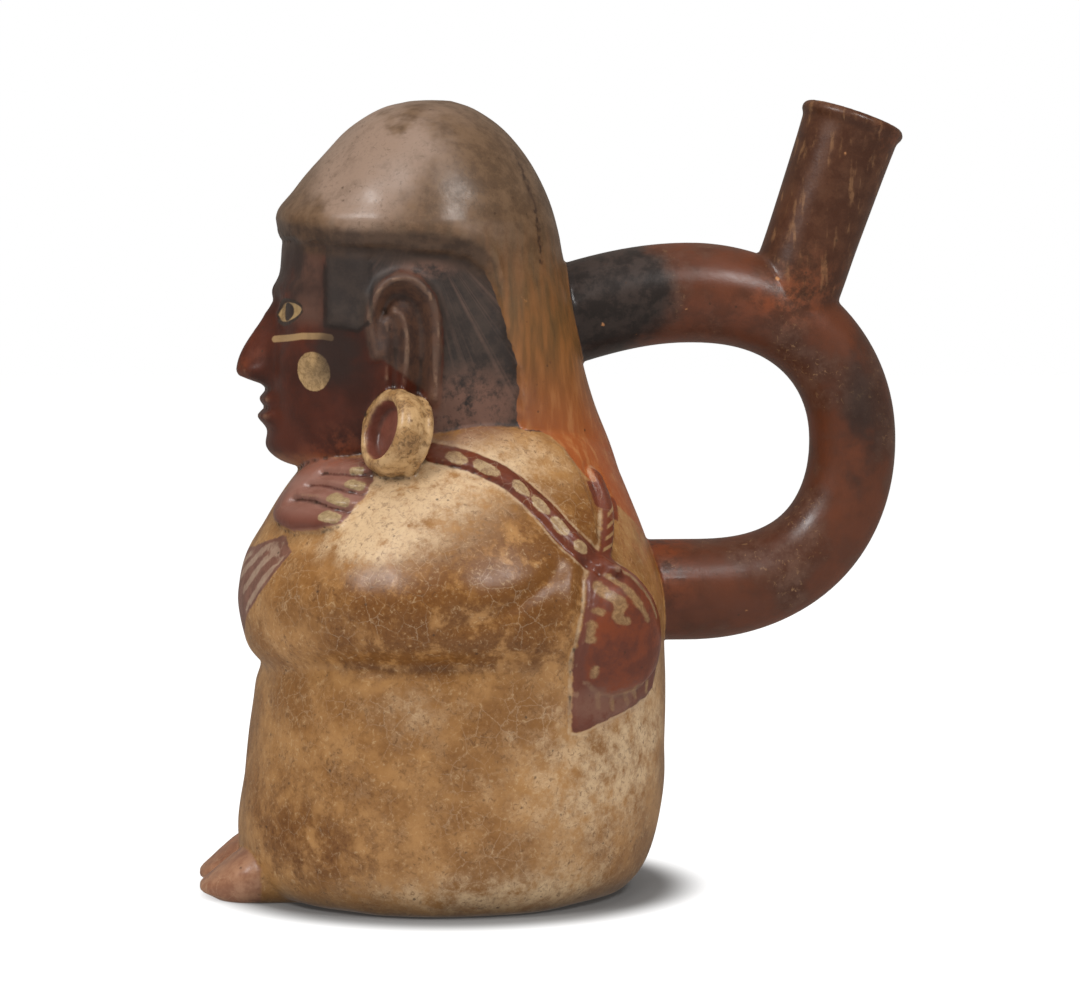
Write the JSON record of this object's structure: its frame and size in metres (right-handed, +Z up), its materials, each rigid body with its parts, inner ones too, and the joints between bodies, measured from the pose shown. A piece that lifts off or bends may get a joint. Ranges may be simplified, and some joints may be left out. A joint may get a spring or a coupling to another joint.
{
  "type": "stirrup spout vessel",
  "caption": "Hollow ceramic vessel shaped as a seated, hooded and cloaked figure, with a ring-shaped tube handle behind it that carries a single round spout.",
  "frame": {"origin": "centre of the flat underside, on the floor", "axes": "+Z up, -X the way the figure faces, +X towards the stirrup, -Y the figure's left side, which carries the bag"},
  "size_m": [0.1838, 0.1257, 0.2045],
  "materials": {
    "slipped_clay": "burnished slip, cream, red-brown and smoke black"
  },
  "bodies": {
    "root": {"vessel": "slipped_clay"}
  },
  "joints": []
}
